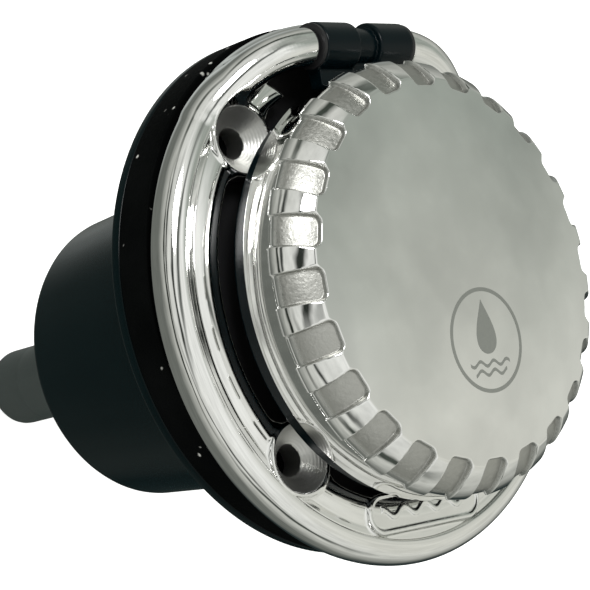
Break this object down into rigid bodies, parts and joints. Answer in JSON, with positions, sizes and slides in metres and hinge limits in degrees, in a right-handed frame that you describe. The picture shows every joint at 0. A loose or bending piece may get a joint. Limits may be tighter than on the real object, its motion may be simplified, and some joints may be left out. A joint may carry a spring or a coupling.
{
  "type": "deck fill cap",
  "caption": "Round polished deck flange with a hinged scalloped turning lid, a rubber base gasket, a closed plastic cup below and a tapered hose tail.",
  "frame": {"origin": "centre of the four deck screw holes on the face that lies on the deck", "axes": "+Z out of the deck through the lid, +Y towards the hinge, +X to the right seen from the front with the hinge at the top"},
  "size_m": [0.1, 0.1006, 0.1333],
  "materials": {
    "polished_steel": "mirror polished stainless steel",
    "plain_steel": "plain stainless steel",
    "gloss_black": "glossy moulded plastic",
    "satin_black": "satin moulded plastic",
    "grey_plastic": "matt dark grey moulded plastic",
    "black_rubber": "matt rubber",
    "natural_nylon": "natural nylon"
  },
  "bodies": {
    "flange": {"deck_flange": "polished_steel", "base_gasket": "black_rubber", "housing_cup": "gloss_black", "deck_seal": "black_rubber", "neck_collar": "satin_black", "neck_o_ring": "black_rubber", "neck_screws": "plain_steel", "strainer_basket": "plain_steel", "strainer_clip": "plain_steel", "hose_tail": "grey_plastic", "tail_seal": "black_rubber", "tail_nut": "satin_black", "hinge_pin": "plain_steel"},
    "carrier": {"carrier_ring": "satin_black", "hinge_bush_left": "natural_nylon", "hinge_bush_right": "natural_nylon", "hinge_washer_left": "black_rubber", "hinge_washer_right": "black_rubber"},
    "lid": {"lid_shell": "polished_steel", "lid_plug": "satin_black", "lid_screws": "plain_steel", "lid_seal": "black_rubber", "slip_washer": "natural_nylon", "retaining_ring": "plain_steel"}
  },
  "joints": [
    {"name": "lid_hinge", "type": "hinge", "parent": "flange", "child": "carrier", "pos_m": [0, 0.0436, 0.0212], "axis": [-1, 0, 0], "range_deg": [0, 115]},
    {"name": "lid_turn", "type": "hinge", "parent": "carrier", "child": "lid", "pos_m": [0, -0.0007, 0.0225], "axis": [0, 0, 1], "range_deg": [0, 360]}
  ]
}
